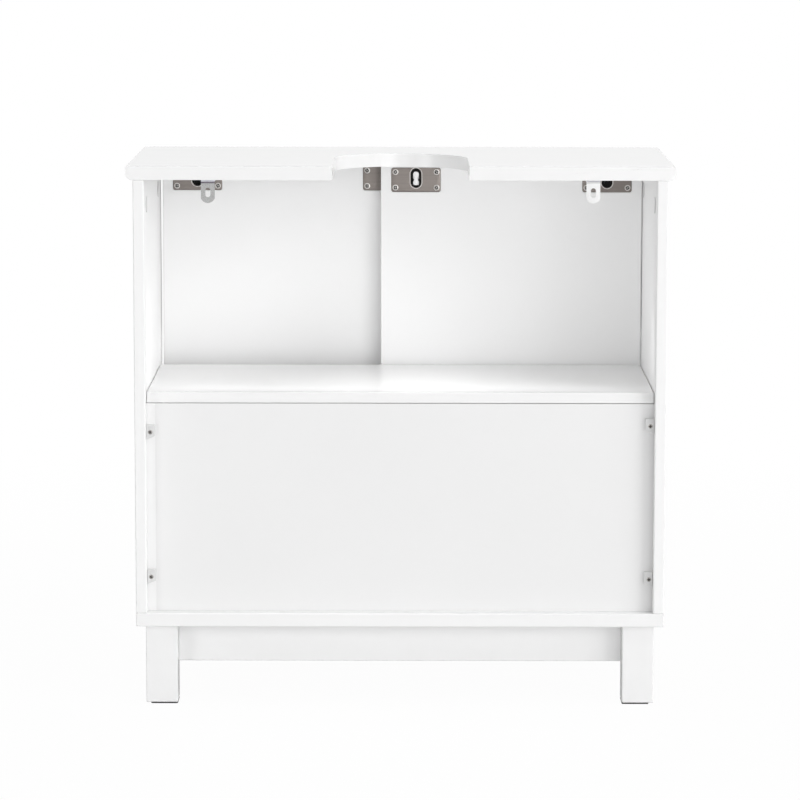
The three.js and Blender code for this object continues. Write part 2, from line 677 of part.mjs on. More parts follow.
function addBrackets() {
  for (const [name, side] of SIDES) {
    const at = groupAt(root, side * BRACKET_X, REAR - BRACKET_SETBACK, TOP_UNDERSIDE - SEAM);
    place(at, `wall_bracket_${name}`, bracketGeometry(), bracketSteel);
    const seat = -BRACKET_THICKNESS - SEAM;
    const screw = bracketScrewGeometry();
    place(at, `bracket_screw_${name}`, screw, bracketSteel, 0, -BRACKET_SCREW_REACH, seat);
  }
}

// ---------------------------------------------------------------- tracks
// The top track lies in its bed in the top's underside: two grooves, open below.
function addTopTrack() {
  const half = TOP_TRACK_GROOVE / 2;
  const inner = INNER_DOOR_BACK + GUIDE_LINE;
  const outer = OUTER_DOOR_BACK + GUIDE_LINE;
  const roof = TOP_TRACK_HEIGHT - TOP_TRACK_WEB;
  const profile = polygon([
    [TOP_TRACK_FRONT, 0],
    [outer - half, 0],
    [outer - half, roof],
    [outer + half, roof],
    [outer + half, 0],
    [inner - half, 0],
    [inner - half, roof],
    [inner + half, roof],
    [inner + half, 0],
    [TOP_TRACK_REAR, 0],
    [TOP_TRACK_REAR, TOP_TRACK_HEIGHT],
    [TOP_TRACK_FRONT, TOP_TRACK_HEIGHT],
  ]);
  const length = BAY_WIDTH - 2 * TRACK_END_GAP;
  place(root, "top_track", rail(profile, length), whitePlastic, 0, 0, TOP_UNDERSIDE);
}

// The floor track has one ridge for each door's rollers.
function addFloorTrack() {
  const middle = (INNER_DOOR_BACK + OUTER_DOOR_BACK) / 2 + DOOR_MIDDLE;
  const half = RIDGE_WIDTH / 2;
  const ridges = [OUTER_DOOR_BACK + DOOR_MIDDLE, INNER_DOOR_BACK + DOOR_MIDDLE];
  const top = FLOOR_TRACK_BASE + RIDGE_HEIGHT;
  const ridgePoints = ridges
    .toReversed()
    .flatMap((y) => [
      [y + half, FLOOR_TRACK_BASE],
      [y + half, top],
      [y - half, top],
      [y - half, FLOOR_TRACK_BASE],
    ]);
  const profile = polygon([
    [middle - FLOOR_TRACK_WIDTH / 2, 0],
    [middle + FLOOR_TRACK_WIDTH / 2, 0],
    [middle + FLOOR_TRACK_WIDTH / 2, FLOOR_TRACK_BASE],
    ...ridgePoints,
    [middle - FLOOR_TRACK_WIDTH / 2, FLOOR_TRACK_BASE],
  ]);
  const length = BAY_WIDTH - 2 * TRACK_END_GAP;
  place(root, "floor_track", rail(profile, length), plateSteel, 0, 0, FLOOR_LEVEL + SEAM);
}

// ---------------------------------------------------------------- top guides
// A guide's frame has the door's back face at y = 0 and the plate's middle at the origin.
const SCREW_PLACES = [-1, 1].flatMap((sx) =>
  [-1, 1].map((sz) => [(sx * PLATE_SCREW_SPREAD) / 2, (sz * PLATE_SCREW_RISE) / 2]),
);
const TRACK_OVER_GUIDE = TOP_UNDERSIDE - GUIDE_HEIGHT;
const SLIDER_FOOT = BUTTON_RISE - BUTTON_HALF_HEIGHT;
const CHANNEL_FLOOR = SLIDER_FOOT - SLIDER_TRAVEL - SLIDER_FOOT_PLAY;
const CHANNEL_BACK = HOUSING_FACE - HOUSING_WALL;
const CHANNEL_FRONT = CHANNEL_BACK - SLIDER_THICKNESS - 2 * SLIDER_PLAY;
const CHANNEL_HALF = SLIDER_WIDTH / 2 + SLIDER_PLAY;

function plateGeometry() {
  const outline = roundedRectangle(PLATE_WIDTH, PLATE_HEIGHT, PLATE_CORNER_RADIUS);
  const blank = upright(outline, PLATE_THICKNESS, 0, CORNER_STEPS);
  const reach = 4 * PLATE_THICKNESS;
  const opening = stadium(WINDOW_WIDTH, WINDOW_HEIGHT);
  const window = upright(opening, reach, reach / 2, STADIUM_STEPS);
  const chamfer = new THREE.ExtrudeGeometry(opening, {
    depth: PAST,
    bevelThickness: WINDOW_CHAMFER,
    bevelSize: WINDOW_CHAMFER,
    bevelSegments: 1,
    curveSegments: STADIUM_STEPS,
  });
  chamfer.rotateX(Math.PI / 2).translate(0, PAST, 0);
  const sink = 2 * PLATE_SINK_RADIUS;
  const holes = SCREW_PLACES.flatMap(([x, z]) => [
    rod(PLATE_HOLE_RADIUS, reach, "y").translate(x, 0, z),
    rod(0, sink, "y", HOLE_SIDES, sink).translate(x, 0, z),
  ]);
  const middle = [0, 0, WINDOW_RISE];
  return carve(blank, window.translate(...middle), chamfer.translate(...middle), ...holes);
}

// A figure 8 as a solid from front to back, grown by an allowance all round, its middle moved by z.
function figureEight(front, back, allowance, z) {
  const half = BUTTON_NECK_WIDTH / 2 + allowance;
  const centres = [z - BUTTON_LOBE_SPREAD / 2, z + BUTTON_LOBE_SPREAD / 2];
  const neck = block([-half, half], [front, back], centres);
  const lobes = centres.map((centre) => {
    const lobe = rod(BUTTON_LOBE_RADIUS + allowance, back - front, "y", ROUND_SIDES);
    return lobe.translate(0, (front + back) / 2, centre);
  });
  return join(neck, ...lobes);
}

// The way of the button through the housing's wall, from its place at rest to the end of its travel.
function buttonWay() {
  const front = CHANNEL_BACK - PAST;
  const back = HOUSING_FACE;
  const half = BUTTON_LOBE_RADIUS + SLIDER_PLAY;
  const ends = [0, -SLIDER_TRAVEL].map((z) => figureEight(front, back, SLIDER_PLAY, z));
  const sweeps = [-BUTTON_LOBE_SPREAD / 2, BUTTON_LOBE_SPREAD / 2].map((z) =>
    block([-half, half], [front, back], [z - SLIDER_TRAVEL, z]),
  );
  return join(...ends, ...sweeps);
}

// The raised rim on the housing's face, which fits the plate's opening.
function rimGeometry() {
  const width = WINDOW_WIDTH - 2 * FIT;
  const height = WINDOW_HEIGHT - 2 * FIT;
  const top = HOUSING_FACE + RIM_HEIGHT;
  const outline = stadium(width, height);
  const hollow = stadium(width - 2 * RIM_WIDTH, height - 2 * RIM_WIDTH);
  return carve(
    upright(outline, RIM_HEIGHT + SEAM, top, STADIUM_STEPS),
    upright(hollow, RIM_HEIGHT + PAST, top + PAST / 2, STADIUM_STEPS),
  );
}

// The housing: a box behind the plate with an upright channel for the slider.
function housingGeometry() {
  const x = HOUSING_WIDTH / 2;
  const z = HOUSING_HEIGHT / 2;
  const box = block([-x, x], [HOUSING_FACE - HOUSING_DEPTH, HOUSING_FACE], [-z, z]);
  const channel = block(
    [-CHANNEL_HALF, CHANNEL_HALF],
    [CHANNEL_FRONT, CHANNEL_BACK],
    [CHANNEL_FLOOR, z + PAST],
  );
  const carved = carve(box, channel, buttonWay().translate(0, 0, BUTTON_RISE));
  return join(carved, rimGeometry().translate(0, 0, WINDOW_RISE));
}

// The slider stands in the channel. Its round-shouldered nose reaches into the top track, and a fingertip
// pulls it down by its button.
function sliderGeometry() {
  const half = SLIDER_WIDTH / 2;
  const nose = SLIDER_NOSE_RADIUS;
  const top = TRACK_OVER_GUIDE + SLIDER_ENGAGEMENT;
  const shape = new THREE.Shape();
  shape.moveTo(-half, SLIDER_FOOT);
  shape.lineTo(half, SLIDER_FOOT);
  shape.absarc(half - nose, top - nose, nose, 0, Math.PI / 2);
  shape.absarc(nose - half, top - nose, nose, Math.PI / 2, Math.PI);
  const bar = upright(shape, SLIDER_THICKNESS, SLIDER_BACK);
  const face = HOUSING_FACE - BUTTON_RECESS;
  const button = figureEight(GUIDE_LINE, face, 0, BUTTON_RISE);
  const bore = rod(SPRING_BORE_RADIUS, SPRING_BORE_DEPTH + PAST, "z");
  const boreZ = SLIDER_FOOT + (SPRING_BORE_DEPTH - PAST) / 2;
  return carve(join(bar, button), bore.translate(0, GUIDE_LINE, boreZ));
}

// What a guide takes out of its door: the plate's and the housing's beds, the slider's way and pilot holes.
function guideCuts() {
  const bed = PLATE_THICKNESS + FIT;
  const outline = roundedRectangle(
    PLATE_WIDTH + 2 * FIT,
    PLATE_HEIGHT + 2 * FIT,
    PLATE_CORNER_RADIUS + FIT,
  );
  const plateBed = upright(outline, bed + PAST, PAST, CORNER_STEPS);
  const x = HOUSING_WIDTH / 2 + FIT;
  const z = HOUSING_HEIGHT / 2 + FIT;
  const housingBed = block([-x, x], [HOUSING_FACE - HOUSING_DEPTH - FIT, 0], [-z, z]);
  const way = CHANNEL_HALF + FIT;
  const sliderWay = block([-way, way], [CHANNEL_FRONT - FIT, CHANNEL_BACK + FIT], [0, TRACK_OVER_GUIDE]);
  const pilotY = -bed - (PILOT_DEPTH - PAST) / 2;
  const pilots = SCREW_PLACES.map(([px, pz]) =>
    rod(PILOT_RADIUS, PILOT_DEPTH + PAST, "y", PILOT_SIDES).translate(px, pilotY, pz),
  );
  return [plateBed, housingBed, sliderWay, ...pilots];
}

function addGuide(group, name, sliderMaterial) {
  place(group, `guide_plate_${name}`, plateGeometry(), plateSteel);
  place(group, `guide_housing_${name}`, housingGeometry(), blackPlastic);
  place(group, `guide_slider_${name}`, sliderGeometry(), sliderMaterial);
}

// ---------------------------------------------------------------- door rollers
// A roller's frame has its axle along Y through the origin.
function rollerGeometry() {
  const half = ROLLER_WIDTH / 2;
  const groove = RIDGE_WIDTH / 2 + ROLLER_GROOVE_PLAY;
  const axle = ROLLER_BOX_WIDTH / 2 - ROLLER_CHEEK_PLAY;
  const profile = [
    [0, -axle],
    [AXLE_RADIUS, -axle],
    [AXLE_RADIUS, -half],
    [ROLLER_RADIUS, -half],
    [ROLLER_RADIUS, -groove],
    [ROLLER_TREAD_RADIUS, -groove],
    [ROLLER_TREAD_RADIUS, groove],
    [ROLLER_RADIUS, groove],
    [ROLLER_RADIUS, half],
    [AXLE_RADIUS, half],
    [AXLE_RADIUS, axle],
    [0, axle],
  ];
  return lathe(profile, ROUND_SIDES);
}

const ROLLER_BOX_FOOT = DOOR_FOOT - ROLLER_CENTRE;

function rollerBoxGeometry() {
  const x = ROLLER_BOX_LENGTH / 2;
  const y = ROLLER_BOX_WIDTH / 2;
  const box = block([-x, x], [-y, y], [ROLLER_BOX_FOOT, ROLLER_BOX_FOOT + ROLLER_BOX_HEIGHT]);
  const slotX = ROLLER_RADIUS + ROLLER_SLOT_PLAY;
  const slotY = ROLLER_WIDTH / 2 + ROLLER_CHEEK_PLAY;
  const slot = block([-slotX, slotX], [-slotY, slotY], [ROLLER_BOX_FOOT - PAST, slotX]);
  const bore = rod(AXLE_RADIUS + AXLE_PLAY, 2 * ROLLER_BOX_WIDTH, "y", ROUND_SIDES);
  return carve(box, slot, bore);
}

function rollerCut() {
  const x = ROLLER_BOX_LENGTH / 2 + FIT;
  const y = ROLLER_BOX_WIDTH / 2 + FIT;
  return block([-x, x], [-y, y], [ROLLER_BOX_FOOT - PAST, ROLLER_BOX_FOOT + ROLLER_BOX_HEIGHT + FIT]);
}

// ---------------------------------------------------------------- finger pulls
// A round cup for a finger. Its frame has the door's front face at y = 0 and the cup's axis along Y.
function pullGeometry() {
  const rim = PULL_RIM_THICKNESS;
  const inner = PULL_CUP_RADIUS - PULL_WALL;
  const profile = [
    [0, PULL_DEPTH],
    [0, PULL_DEPTH - PULL_WALL],
    [inner, PULL_DEPTH - PULL_WALL],
    [inner, -rim],
    [PULL_RIM_RADIUS - rim / 2, -rim],
    [PULL_RIM_RADIUS, -rim / 2],
    [PULL_RIM_RADIUS, -SEAM],
    [PULL_CUP_RADIUS, -SEAM],
    [PULL_CUP_RADIUS, PULL_DEPTH],
    [0, PULL_DEPTH],
  ];
  return lathe(profile, PULL_SIDES);
}

// ---------------------------------------------------------------- doors
// A door's group has its origin at the middle of the door's lower edge, on its back face. out is the side
// of the cabinet that the closed door stands against.
function addDoor(name, backY, out, sideGap) {
  const x = out * (INNER_X - sideGap - DOOR_WIDTH / 2);
  const group = groupAt(root, x, backY, DOOR_FOOT);
  const height = DOOR_TOP - DOOR_FOOT;
  const guideX = DOOR_WIDTH / 2 - PLATE_SIDE_MARGIN - PLATE_WIDTH / 2;
  const rollerX = DOOR_WIDTH / 2 - ROLLER_INSET;
  const pullX = out * (DOOR_WIDTH / 2 - PULL_INSET);
  const guideZ = GUIDE_HEIGHT - DOOR_FOOT;
  const rollerZ = ROLLER_CENTRE - DOOR_FOOT;
  const pullZ = PULL_HEIGHT - DOOR_FLOOR_GAP;
  const cuts = [];
  for (const [end, side] of SIDES) {
    const guide = groupAt(group, side * guideX, 0, guideZ);
    addGuide(guide, `${name}_${end}`, side === out ? blackPlastic : nylon);
    cuts.push(...guideCuts().map((cut) => cut.translate(side * guideX, 0, guideZ)));
    const rollerAt = groupAt(group, side * rollerX, DOOR_MIDDLE, rollerZ);
    place(rollerAt, `roller_box_${name}_${end}`, rollerBoxGeometry(), whitePlastic);
    place(rollerAt, `roller_${name}_${end}`, rollerGeometry(), nylon);
    cuts.push(rollerCut().translate(side * rollerX, DOOR_MIDDLE, rollerZ));
  }
  const cup = rod(PULL_CUP_RADIUS + FIT, PULL_DEPTH + FIT + PAST, "y", PULL_SIDES);
  cuts.push(cup.translate(pullX, -DOOR_THICKNESS + (PULL_DEPTH + FIT - PAST) / 2, pullZ));
  place(group, `finger_pull_${name}`, pullGeometry(), chrome, pullX, -DOOR_THICKNESS, pullZ);
  const panel = board(DOOR_WIDTH, DOOR_THICKNESS, height).translate(0, DOOR_MIDDLE, height / 2);
  place(group, `door_${name}`, carve(panel, ...cuts), lacquer);
}

// ---------------------------------------------------------------- the cabinet
addTop();
addBottom();
for (const [name, side] of SIDES) {
  addSide(name, side);
  addCams(name, side);
  addPins(name, side);
}
addShelf();
addBackPanel();
addClips();
addLegFrame();
addBrackets();
addTopTrack();
addFloorTrack();
addDoor("inner", INNER_DOOR_BACK, -1, INNER_DOOR_SIDE_GAP);
addDoor("outer", OUTER_DOOR_BACK, 1, OUTER_DOOR_SIDE_GAP);

export default root;
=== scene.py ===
"""Looks of a sink base cabinet with two sliding doors, seen from behind. Lengths are in metres."""
import math

import bmesh
import bpy
from mathutils import Matrix, Vector
from mathutils.geometry import tessellate_polygon


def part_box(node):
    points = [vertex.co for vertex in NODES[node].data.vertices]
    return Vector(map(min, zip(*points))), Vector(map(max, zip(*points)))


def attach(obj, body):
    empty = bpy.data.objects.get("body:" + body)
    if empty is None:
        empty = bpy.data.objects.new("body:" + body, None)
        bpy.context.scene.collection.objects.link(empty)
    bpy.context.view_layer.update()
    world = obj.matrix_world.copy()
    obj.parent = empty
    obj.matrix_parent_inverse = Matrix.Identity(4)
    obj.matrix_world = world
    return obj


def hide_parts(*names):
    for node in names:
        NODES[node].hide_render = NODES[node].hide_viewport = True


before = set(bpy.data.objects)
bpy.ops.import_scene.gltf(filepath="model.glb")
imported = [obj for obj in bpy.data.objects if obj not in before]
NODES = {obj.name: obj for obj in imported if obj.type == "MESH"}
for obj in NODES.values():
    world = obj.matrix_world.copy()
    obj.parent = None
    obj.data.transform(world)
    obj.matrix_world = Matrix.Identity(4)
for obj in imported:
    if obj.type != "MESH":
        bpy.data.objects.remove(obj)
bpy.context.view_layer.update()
MM = 0.001

# ---------------------------------------------------------------- camera, angles in degrees
CAMERA_PLACE = (-0.0051, 4.2189, 0.9141)
CAMERA_PITCH = 7.979  # below level
CAMERA_YAW = 0.076
CAMERA_ROLL = 0.087
CAMERA_LENS = 168.46
SENSOR = 36.0

# ---------------------------------------------------------------- light
FILL = 0.25  # strength of the surroundings on the object
BACKDROP = 1.0  # their strength where the camera or a mirror sees them
# Softboxes: place, width, height, power in watts and the point that each one faces.
SOFTBOXES = {
    "key_low": ((-6.4, 5.2, 1.1), 4.0, 4.0, 193.0, (0.0, 0.0, 0.3)),
    "key_middle": ((-2.4, 3.4, 1.6), 2.0, 2.0, 18.0, (0.0, 0.0, 0.3)),
    "key_high": ((-2.2, 1.6, 2.6), 1.8, 1.8, 25.0, (0.0, 0.0, 0.4)),
    "overhead": ((0.2, 0.0, 3.2), 2.2, 2.2, 35.0, (0.0, 0.0, 0.6)),
    "low_behind": ((-1.6, 4.0, 0.36), 2.0, 0.66, 16.5, (0.0, 0.0, 0.36)),
    "side": ((-2.6, 0.6, 0.40), 1.4, 0.7, 7.3, (0.0, 0.0, 0.36)),
    "left_card": ((1.5, 1.5, 0.5), 0.8, 0.8, 8.0, (-0.3, 0.0, 0.45)),
    "front": ((0.8, -3.2, 0.34), 2.4, 0.6, 42.0, (0.0, 0.0, 0.34)),
}
UNREFLECTED = {"key_low", "key_middle", "front"}  # softboxes that leave no sheen on the top panel
INNER_GLOW = 0.15  # watts of the soft light at the shelf's rear edge, for the compartment
INNER_SIZE = (0.52, 0.05)
INNER_RISE = 25 * MM  # from the shelf to its lower edge
INNER_INSET = 5 * MM  # from the shelf's rear edge
FLOOR_SIZE = 40.0
FLOOR_TONES = (0.80, 0.82)
FLOOR_GLOW = 0.97  # share of the floor's own white near the object, for the camera only
FLOOR_FADE = (0.6, 1.8)  # distances between which that share grows to 1

# ---------------------------------------------------------------- edges of the CAD nodes
WELD_DISTANCE = 0.002 * MM
EDGE_STEPS = 3
EDGE_ANGLE = 32  # degrees; only sharper edges are rounded
FACE_WEIGHT = 80  # how far large faces rule the shading

# ---------------------------------------------------------------- back panel
PAINTED_LIGHT_INSETS = (13.7 * MM, 13.0 * MM)  # from its left edge, between which its painted light strip starts: a lighter band standing in for light bounced off the side panel

# ---------------------------------------------------------------- wall brackets
BEND_SHADE_DEPTHS = (4.25 * MM, 2.25 * MM)  # below their top, between which the strip is painted darker: a painted shade line under the bend
BEND_HIGHLIGHT_DEPTHS = (1.85 * MM, 1.35 * MM)  # between which the painted highlight on the bend starts
# colour of the painted highlight on the bend
BEND_HIGHLIGHT = (0.93, 0.93, 0.97)

# ---------------------------------------------------------------- guide plates
PLATE_CORNER = 2.5 * MM
PLATE_EDGE = 0.3 * MM
WINDOW = (12 * MM, 22 * MM)
WINDOW_RISE = 2 * MM
BEAD_REACH = 1.3 * MM  # of the bead round the window, painted bright as a highlight, from the window's edge
BEAD_WIDTH = 0.75 * MM
BEAD_SLOPE = 0.15 * MM
BEAD_HEIGHT = 0.12 * MM
BEAD_BANDS = 3  # bands of faces that make up the bead, painted bright as a highlight
SCREW_SPREAD = 47.5 * MM
SCREW_RISE = 18 * MM
SCREW_PLACES = [(sx * SCREW_SPREAD / 2, sz * SCREW_RISE / 2) for sx in (-1, 1) for sz in (-1, 1)]
SCREW_TURNS = (0.35, 1.1, 0.75, 0.15)
SCREW_SUNK = 0.25 * MM  # rim of a head below the plate's face
SINK_RADIUS = 3.65 * MM
SINK_FOOT = 1.9 * MM
SINK_DEPTH = 1.15 * MM
CORNER_STEPS = 10
ROUND_STEPS = 48

# ---------------------------------------------------------------- screw heads
# A head is given by its radius, the rise of its crown, the depth of its rim and its cross recess,
# and a recess by its length, half width, depth and the radius of its raised middle, painted bright as a
# highlight.
PLATE_HEAD = (3.45 * MM, 0.3 * MM, 1.0 * MM, (2.0 * MM, 0.70 * MM, 0.6 * MM, 0.70 * MM))
CLIP_HEAD = (2.5 * MM, 0.7 * MM, 0.6 * MM, (1.6 * MM, 0.42 * MM, 1.0 * MM, 0.42 * MM))
CLIP_SCREW_INSET = 4.5 * MM  # from the side panel
CLIP_TURNS = {"left": 0.05, "right": 0.55}
HEAD_RINGS = 22
HEAD_STEPS = 56
HEAD_FLAT = 0.78  # share of the radius inside the rim, which is painted bright as a highlight
RECESS_EDGE = 0.18 * MM  # width of the slope round a recess
RECESS_START = 0.3  # share of the depth from which a face is part of the recess and painted dark as shade
ARM_TAPER = 0.35  # share of an arm's width that is lost towards its end
MIDDLE_RISE = 0.55  # share of the depth that the bright middle rises

# ---------------------------------------------------------------- finger pulls
PULL_STEPS = 96
PULL_PROUD = 1 * MM
PULL_RIM = 4 * MM  # width of the rim
PULL_FLOOR = 1 * MM  # thickness under the cup
CUP_CORNER = 1.2 * MM
# The rim's profile: distances from its outer and its inner edge, and shares of PULL_PROUD.
RIM_OUTSIDE = ((0.0, 0.0), (0.0, 0.35), (0.25 * MM, 0.8), (0.8 * MM, 1.0))
RIM_INSIDE = ((0.6 * MM, 1.0), (0.15 * MM, 0.85), (0.0, 0.45))
# The dish in the cup's floor: shares of the cup's radius, and depths.
CUP_DISH = ((0.55, 0.1 * MM), (0.0, 0.15 * MM))

# ---------------------------------------------------------------- meshes
MIDWAY = 0.3  # share of a radius by which a rounded edge is cut back at its middle
MERGE_DISTANCE = 0.001 * MM
PLATE_SHARP = 30  # degrees from which an edge is shaded as sharp
HEAD_SHARP = 50
PULL_SHARP = 40


def smoothstep(low, high, value):
    t = min(max((value - low) / (high - low), 0.0), 1.0)
    return t * t * (3 - 2 * t)


# ---------------------------------------------------------------- materials
class Look:
    """A node material, built up from object coordinates."""

    def __init__(self, name, constants):
        self.material = bpy.data.materials.new(name)
        self.material.use_nodes = True
        self.tree = self.material.node_tree
        self.shader = self.tree.nodes["Principled BSDF"]
        for socket, value in constants.items():
            self.shader.inputs[socket].default_value = value
        self.place = self.node("ShaderNodeTexCoord").outputs["Object"]

    def node(self, kind, inputs=None, **settings):
        made = self.tree.nodes.new(kind)
        for key, value in settings.items():
            setattr(made, key, value)
        for key, value in (inputs or {}).items():
            if isinstance(value, bpy.types.NodeSocket):
                self.tree.links.new(value, made.inputs[key])
            else:
                made.inputs[key].default_value = value
        return made

    def set(self, socket, source):
        self.tree.links.new(source, self.shader.inputs[socket])

    def ramp(self, axis, edge, insets):
        """Grows from 0 to 1 along an axis, between two insets from an edge."""
        along = self.node("ShaderNodeSeparateXYZ", {0: self.place}).outputs[axis]
        return self.spread(along, start=edge - insets[0], end=edge - insets[1])

    def noise(self, scale, detail=2.0, stretch=(1, 1, 1), roughness=0.5):
        mapped = self.node("ShaderNodeMapping", {"Vector": self.place, "Scale": stretch})
        inputs = {"Vector": mapped.outputs[0], "Scale": scale, "Detail": detail, "Roughness": roughness}
        return self.node("ShaderNodeTexNoise", inputs).outputs["Fac"]

    def specks(self, scale):
        inputs = {"Vector": self.place, "Scale": scale}
        return self.node("ShaderNodeTexVoronoi", inputs).outputs["Distance"]

    def spread(self, source, low=0, high=1, start=0.3, end=0.7):
        inputs = {"Value": source, "From Min": start, "From Max": end, "To Min": low, "To Max": high}
        return self.node("ShaderNodeMapRange", inputs).outputs[0]

    def blend(self, factor, first, second):
        """Mixes two colours. Inputs 6 and 7 and output 2 are the node's sockets for colours."""
        colours = [c if isinstance(c, bpy.types.NodeSocket) else (*c, 1) for c in (first, second)]
        inputs = {0: factor, 6: colours[0], 7: colours[1]}
        return self.node("ShaderNodeMix", inputs, data_type="RGBA").outputs[2]

    def bump(self, height, strength, distance):
        inputs = {"Height": height, "Strength": strength, "Distance": distance}
        self.set("Normal", self.node("ShaderNodeBump", inputs).outputs[0])


def grey(value, warmth=0.0):
    return (value * (1 + warmth), value, value * (1 - warmth))


def painted(name, light, dark, roughness, peel, painted_light_strip=None):
    """White paint: faint clouds in the colour, uneven gloss and a fine orange peel.

    The back panel's left strip is painted lighter, as painted light bounced off the side panel.
    """
    look = Look(name, {"Specular IOR Level": 0.5, "Coat Weight": 0.12, "Coat Roughness": 0.12})
    colour = look.blend(look.spread(look.noise(scale=5.5, detail=4)), dark, light)
    # painted light: a lighter strip along the back panel's left edge stands in for light bounced off the
    # side panel
    if painted_light_strip is not None:
        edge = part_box("lower_back_panel")[1].x
        colour = look.blend(look.ramp("X", edge, PAINTED_LIGHT_INSETS), colour, painted_light_strip)
    look.set("Base Color", colour)
    look.set("Roughness", look.spread(look.noise(scale=38, detail=3), *roughness))
    look.bump(look.noise(scale=620), strength=0.003 * peel, distance=0.4 * MM)
    return look.material


def moulded(name, light, dark, roughness, grain, specular=0.5):
    """Moulded plastic: a fine grain and slightly uneven colour."""
    look = Look(name, {"Specular IOR Level": specular})
    look.set("Base Color", look.blend(look.spread(look.noise(scale=60, detail=3)), dark, light))
    look.set("Roughness", look.spread(look.noise(scale=240), *roughness))
    look.bump(look.noise(scale=2600), strength=grain, distance=0.2 * MM)
    return look.material


def brushed(name, light, dark, roughness):
    """Steel brushed along X: long fine streaks in colour, gloss and relief."""
    look = Look(name, {"Metallic": 1.0, "Anisotropic": 0.55})
    fine = look.noise(scale=260, detail=4, stretch=(0.12, 6, 9))
    wide = look.noise(scale=90, stretch=(0.10, 2, 3))
    both = look.node("ShaderNodeMath", {0: fine, 1: wide}, operation="ADD").outputs[0]
    look.set("Base Color", look.blend(look.spread(both, start=0.75, end=1.25), dark, light))
    look.set("Roughness", look.spread(fine, *roughness))
    look.bump(fine, strength=0.06, distance=0.15 * MM)
    tangent = look.node("ShaderNodeTangent", direction_type="RADIAL", axis="Z")
    look.set("Tangent", tangent.outputs[0])
    return look.material


def plated(name, light, dark, roughness, grain, bend_shade=None):
    """Zinc-plated or nickel-plated metal: satin, with fine specks.

    A strip with a bend gets a painted highlight on the bend and a painted shade line, in the given colour,
    just below it.
    """
    look = Look(name, {"Metallic": 1.0})
    colour = look.blend(look.spread(look.specks(scale=1500), start=0.1, end=0.6), dark, light)
    if bend_shade is not None:
        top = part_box("wall_bracket_left")[1].z
        # painted shade line below the bend, then the painted highlight on the bend
        for tone, depths in ((bend_shade, BEND_SHADE_DEPTHS), (BEND_HIGHLIGHT, BEND_HIGHLIGHT_DEPTHS)):
            colour = look.blend(look.ramp("Z", top, depths), colour, tone)
    look.set("Base Color", colour)
    look.set("Roughness", look.spread(look.noise(scale=900, detail=3), *roughness))
    look.bump(look.noise(scale=3200), strength=grain, distance=0.1 * MM)
    return look.material


def fuzzy(name, light, dark):
    """Felt: matted fibres."""
    look = Look(name, {"Specular IOR Level": 0.2, "Sheen Weight": 0.4, "Roughness": 0.95})
    fibres = look.noise(scale=1500, detail=6, stretch=(1, 1, 3), roughness=0.7)
    look.set("Base Color", look.blend(look.spread(fibres), dark, light))
    look.bump(fibres, strength=0.7, distance=0.5 * MM)
    return look.material


LACQUER = painted("white_lacquer", grey(0.905), grey(0.897), (0.263, 0.268), peel=1.0)
SATIN = painted("satin_lacquer", grey(0.905), grey(0.897), (0.55, 0.57), peel=1.0)
# the hardboard's lighter left strip is painted light, not a colour of the board
HARDBOARD = painted(
    "white_hardboard", grey(0.850), grey(0.838), (0.43, 0.45), peel=1.6, painted_light_strip=grey(0.935)
)
WHITE_PLASTIC = moulded("white_plastic", grey(0.74), grey(0.70), (0.35, 0.45), grain=0.15)
NYLON = moulded("nylon", grey(0.97), grey(0.95), (0.30, 0.40), grain=0.10)
BLACK_PLASTIC = moulded(
    "black_plastic", grey(0.005), grey(0.003), (0.30, 0.42), grain=0.20, specular=0.15
)
CAP_GREY = moulded("cap_grey", grey(0.72), grey(0.66), (0.40, 0.50), grain=0.15)
BRUSHED = brushed("brushed_steel", (0.276, 0.248, 0.231), (0.243, 0.219, 0.204), (0.30, 0.42))
# painted highlight: a brighter copy of the screws' steel for the plate's bead and the plate screws' rims
# and middles
HIGHLIGHT_STEEL = plated("steel_painted_highlight", grey(0.78, 0.03), grey(0.70, 0.03), (0.34, 0.44), grain=0.05)
ZINC = plated("zinc_steel", grey(0.62), grey(0.50), (0.34, 0.50), grain=0.35)
# painted shade: one copy of the brackets' single zinc finish, darker as if in shade
SHADED_ZINC = plated(
    "zinc_painted_shade", grey(0.52), grey(0.28), (0.36, 0.52), grain=0.45, bend_shade=(0.10, 0.08, 0.115)
)
# painted light: the other copy of that zinc finish, lighter as if lit by the key from the right
LIT_ZINC = plated(
    "zinc_painted_light", grey(0.81), grey(0.77), (0.28, 0.33), grain=0.06, bend_shade=grey(0.56)
)
SCREW = plated("screw_nickel", grey(0.42, 0.04), grey(0.34, 0.04), (0.26, 0.36), grain=0.15)
CHROME = plated("chrome", grey(0.74), grey(0.70), (0.12, 0.20), grain=0.05)
# painted shade: the dark colour of the screws' cross recesses stands in for the shade in them
RECESS_SHADE = moulded("screw_recess_painted_shade", grey(0.032, 0.05), grey(0.020, 0.05), (0.5, 0.6), grain=0.2)
FELT = fuzzy("felt", grey(0.05), grey(0.02))

